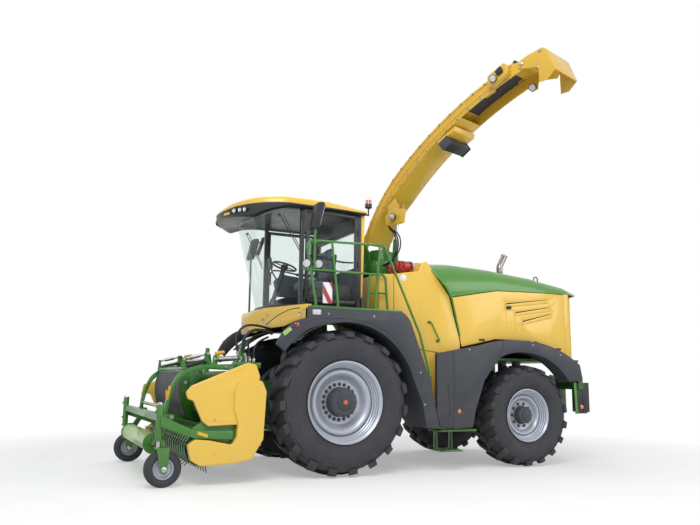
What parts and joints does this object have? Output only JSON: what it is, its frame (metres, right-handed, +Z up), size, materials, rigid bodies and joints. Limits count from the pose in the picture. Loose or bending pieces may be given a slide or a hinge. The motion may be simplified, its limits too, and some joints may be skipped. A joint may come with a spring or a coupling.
{
  "type": "forage harvester",
  "caption": "Self-propelled forage harvester with pick-up header, glazed cab, swinging discharge chute, big front drive wheels and steered rear wheels.",
  "frame": {"origin": "middle of the rear coupling's pin bore", "axes": "+X forward, +Y to the machine's left, +Z up"},
  "size_m": [7.3949, 5.0471, 5.785],
  "materials": {
    "body_yellow": "gloss",
    "body_green": "gloss",
    "light_green": "satin",
    "fender_grey": "matte",
    "cab_black": "satin",
    "tinted_glass": "clear",
    "seat_cloth": "woven",
    "tyre_rubber": "matte",
    "rim_silver": "satin",
    "engine_iron": "rough",
    "bright_steel": "polished",
    "red_enamel": "gloss",
    "black_rubber": "matte"
  },
  "bodies": {
    "chassis": {"main_frame": "body_green", "engine_block": "engine_iron", "front_axle": "body_green", "rear_axle": "body_green", "drum_housing": "body_green", "tanks": "body_yellow", "hood_top": "body_green", "hood_tail": "body_yellow", "rear_grille": "cab_black", "front_fenders": "fender_grey", "rear_fenders": "fender_grey", "platforms": "body_green", "railing": "body_green", "cab_frame": "cab_black", "cab_glass": "tinted_glass", "cab_roof": "body_yellow", "roof_visor": "cab_black", "seat": "seat_cloth", "steering_column": "cab_black", "front_cowl": "body_yellow", "mirrors": "cab_black", "lamps": "cab_black", "exhaust": "bright_steel", "extinguishers": "red_enamel", "rear_hitch": "body_green"},
    "front_wheel_left": {"front_tyre_left": "tyre_rubber", "front_rim_left": "rim_silver"},
    "front_wheel_right": {"front_tyre_right": "tyre_rubber", "front_rim_right": "rim_silver"},
    "steering_left": {"knuckle_left": "body_green"},
    "steering_right": {"knuckle_right": "body_green"},
    "rear_wheel_left": {"rear_tyre_left": "tyre_rubber", "rear_rim_left": "rim_silver"},
    "rear_wheel_right": {"rear_tyre_right": "tyre_rubber", "rear_rim_right": "rim_silver"},
    "cab_door_left": {"door_left": "cab_black", "door_glass_left": "tinted_glass"},
    "cab_door_right": {"door_right": "cab_black", "door_glass_right": "tinted_glass"},
    "hood_flap_left": {"hood_side_left": "body_yellow"},
    "hood_flap_right": {"hood_side_right": "body_yellow"},
    "chute_slew": {"chute_turntable": "body_green"},
    "chute": {"chute_arm": "body_yellow"},
    "chute_deflector": {"chute_flap": "body_yellow"},
    "chute_deflector_tip": {"chute_tip": "body_yellow"},
    "chute_cylinder": {"chute_lift_barrel": "body_green"},
    "chute_cylinder_rod": {"chute_lift_rod": "bright_steel"},
    "header": {"feed_housing": "body_green", "pickup_frame": "body_green", "pickup_covers": "body_yellow", "crop_apron": "black_rubber"},
    "header_cylinders": {"header_lift_barrels": "body_green"},
    "header_cylinder_rods": {"header_lift_rods": "bright_steel"},
    "reel": {"pickup_reel": "body_green"},
    "auger": {"intake_auger": "body_green"},
    "press": {"press_arms": "body_green"},
    "roller": {"press_roller": "light_green"},
    "gauge_left": {"gauge_wheel_left": "tyre_rubber"},
    "gauge_right": {"gauge_wheel_right": "tyre_rubber"}
  },
  "joints": [
    {"name": "front_left_spin", "type": "hinge", "parent": "chassis", "child": "front_wheel_left", "pos_m": [4.7, 1.145, 0.235], "axis": [0, 1, 0], "continuous": true},
    {"name": "front_right_spin", "type": "hinge", "parent": "chassis", "child": "front_wheel_right", "pos_m": [4.7, -1.145, 0.235], "axis": [0, 1, 0], "continuous": true},
    {"name": "steer_left", "type": "hinge", "parent": "chassis", "child": "steering_left", "pos_m": [1.513, 0.86, 0.02], "axis": [0, 0, 1], "range_deg": [-45, 45]},
    {"name": "steer_right", "type": "hinge", "parent": "chassis", "child": "steering_right", "pos_m": [1.513, -0.86, 0.02], "axis": [0, 0, 1], "range_deg": [-45, 45]},
    {"name": "rear_left_spin", "type": "hinge", "parent": "steering_left", "child": "rear_wheel_left", "pos_m": [1.513, 1.115, 0.02], "axis": [0, 1, 0], "continuous": true},
    {"name": "rear_right_spin", "type": "hinge", "parent": "steering_right", "child": "rear_wheel_right", "pos_m": [1.513, -1.115, 0.02], "axis": [0, 1, 0], "continuous": true},
    {"name": "door_left_hinge", "type": "hinge", "parent": "chassis", "child": "cab_door_left", "pos_m": [4.263, 0.885, 2.2], "axis": [0, 0, 1], "range_deg": [0, 38]},
    {"name": "door_right_hinge", "type": "hinge", "parent": "chassis", "child": "cab_door_right", "pos_m": [4.263, -0.885, 2.2], "axis": [0, 0, -1], "range_deg": [0, 70]},
    {"name": "flap_left_hinge", "type": "hinge", "parent": "chassis", "child": "hood_flap_left", "pos_m": [1.84, 1.405, 1.955], "axis": [1, 0, 0], "range_deg": [0, 75]},
    {"name": "flap_right_hinge", "type": "hinge", "parent": "chassis", "child": "hood_flap_right", "pos_m": [1.84, -1.405, 1.955], "axis": [-1, 0, 0], "range_deg": [0, 75]},
    {"name": "chute_turn", "type": "hinge", "parent": "chassis", "child": "chute_slew", "pos_m": [3.45, 0, 2.35], "axis": [0, 0, 1], "range_deg": [-33, 177]},
    {"name": "chute_lift", "type": "hinge", "parent": "chute_slew", "child": "chute", "pos_m": [3.4809, -0.09511, 2.7], "axis": [0.9511, 0.309, 0], "range_deg": [-30, 3]},
    {"name": "deflector_hinge", "type": "hinge", "parent": "chute", "child": "chute_deflector", "pos_m": [2.51677, 2.87219, 4.9], "axis": [0.9511, 0.309, 0], "range_deg": [-15, 30]},
    {"name": "deflector_tip_hinge", "type": "hinge", "parent": "chute_deflector", "child": "chute_deflector_tip", "pos_m": [2.42097, 3.16702, 4.99], "axis": [0.9511, 0.309, 0], "range_deg": [-15, 40]},
    {"name": "chute_cylinder_swing", "type": "hinge", "parent": "chute_slew", "child": "chute_cylinder", "pos_m": [3.33875, 0.34238, 2.38], "axis": [0.9511, 0.309, 0], "range_deg": [-21.98, 3.1]},
    {"name": "chute_cylinder_slide", "type": "slide", "parent": "chute_cylinder", "child": "chute_cylinder_rod", "axis": [-0.0243, 0.0749, 0.9969], "range_m": [-0.2787, 0.0324]},
    {"name": "header_lift", "type": "hinge", "parent": "chassis", "child": "header", "pos_m": [4.75, 0, 0.35], "axis": [0, -1, 0], "range_deg": [0, 16]},
    {"name": "header_cylinder_swing", "type": "hinge", "parent": "chassis", "child": "header_cylinders", "pos_m": [4.9, 0, -0.14], "axis": [0, -1, 0], "range_deg": [-1, 18.79]},
    {"name": "header_cylinder_slide", "type": "slide", "parent": "header_cylinders", "child": "header_cylinder_rods", "axis": [0.9988, 0, -0.0499], "range_m": [-0.005, 0.145]},
    {"name": "reel_spin", "type": "hinge", "parent": "header", "child": "reel", "pos_m": [6.6, 0, -0.325], "axis": [0, 1, 0], "continuous": true},
    {"name": "auger_spin", "type": "hinge", "parent": "header", "child": "auger", "pos_m": [6.23, 0, 0.11], "axis": [0, 1, 0], "continuous": true},
    {"name": "press_lift", "type": "hinge", "parent": "header", "child": "press", "pos_m": [6.95, 0, 0.045], "axis": [0, -1, 0], "range_deg": [0, 30]},
    {"name": "roller_spin", "type": "hinge", "parent": "press", "child": "roller", "pos_m": [7.15, 0, -0.275], "axis": [0, 1, 0], "continuous": true},
    {"name": "gauge_left_spin", "type": "hinge", "parent": "header", "child": "gauge_left", "pos_m": [7.1, 1.4, -0.535], "axis": [0, 1, 0], "continuous": true},
    {"name": "gauge_right_spin", "type": "hinge", "parent": "header", "child": "gauge_right", "pos_m": [7.1, -1.4, -0.535], "axis": [0, 1, 0], "continuous": true}
  ],
  "couplings": [
    {"joint": "steer_right", "follows": "steer_left", "ratio": 1},
    {"joint": "chute_cylinder_swing", "follows": "chute_lift", "ratio": 0.6994},
    {"joint": "chute_cylinder_slide", "follows": "chute_lift", "m_per_rad": 0.5228},
    {"joint": "header_cylinder_swing", "follows": "header_lift", "ratio": 1.1118},
    {"joint": "header_cylinder_slide", "follows": "header_lift", "m_per_rad": 0.5015}
  ]
}
